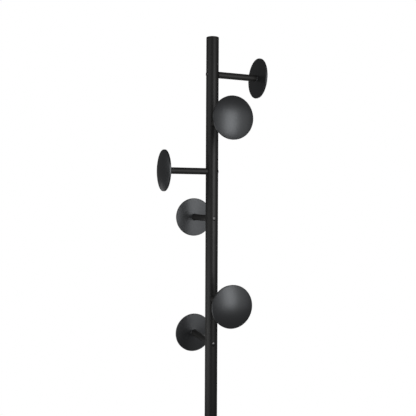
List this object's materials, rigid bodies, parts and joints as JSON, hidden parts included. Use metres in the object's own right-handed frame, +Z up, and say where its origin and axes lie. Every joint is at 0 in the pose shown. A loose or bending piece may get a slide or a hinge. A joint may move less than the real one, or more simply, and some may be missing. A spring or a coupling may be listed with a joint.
{
  "type": "coat rack",
  "caption": "Standing coat rack: a slim round black pole on a heavy round base, with domed disc hooks on short stems set around its upper half.",
  "frame": {"origin": "on the floor, on the axis of the pole, which is the middle of the round base", "axes": "+Z up along the pole; +X the way the topmost hook points, and -Y the way the second hook down points"},
  "size_m": [0.38, 0.38, 1.75],
  "materials": {
    "pole_coat": "satin",
    "stem_coat": "satin",
    "disc_coat": "satin",
    "base_coat": "satin",
    "cap_plastic": "satin",
    "cover_plastic": "satin",
    "zinc_steel": "satin",
    "pad_rubber": "matte"
  },
  "bodies": {
    "root": {"upper_tube": "pole_coat", "lower_tube": "pole_coat", "top_cap": "cap_plastic", "stem_1": "stem_coat", "disc_1": "disc_coat", "hook_screw_1": "zinc_steel", "screw_cover_1": "cover_plastic", "stem_2": "stem_coat", "disc_2": "disc_coat", "hook_screw_2": "zinc_steel", "screw_cover_2": "cover_plastic", "stem_3": "stem_coat", "disc_3": "disc_coat", "hook_screw_3": "zinc_steel", "screw_cover_3": "cover_plastic", "stem_4": "stem_coat", "disc_4": "disc_coat", "hook_screw_4": "zinc_steel", "screw_cover_4": "cover_plastic", "stem_5": "stem_coat", "disc_5": "disc_coat", "hook_screw_5": "zinc_steel", "screw_cover_5": "cover_plastic", "stem_6": "stem_coat", "disc_6": "disc_coat", "hook_screw_6": "zinc_steel", "screw_cover_6": "cover_plastic", "upper_insert": "zinc_steel", "lower_insert": "zinc_steel", "foot_insert": "zinc_steel", "joiner_stud": "zinc_steel", "base_bolt": "zinc_steel", "base_plate": "base_coat", "foot_pad_1": "pad_rubber", "foot_pad_2": "pad_rubber", "foot_pad_3": "pad_rubber", "foot_pad_4": "pad_rubber", "foot_pad_5": "pad_rubber", "foot_pad_6": "pad_rubber"}
  },
  "joints": []
}
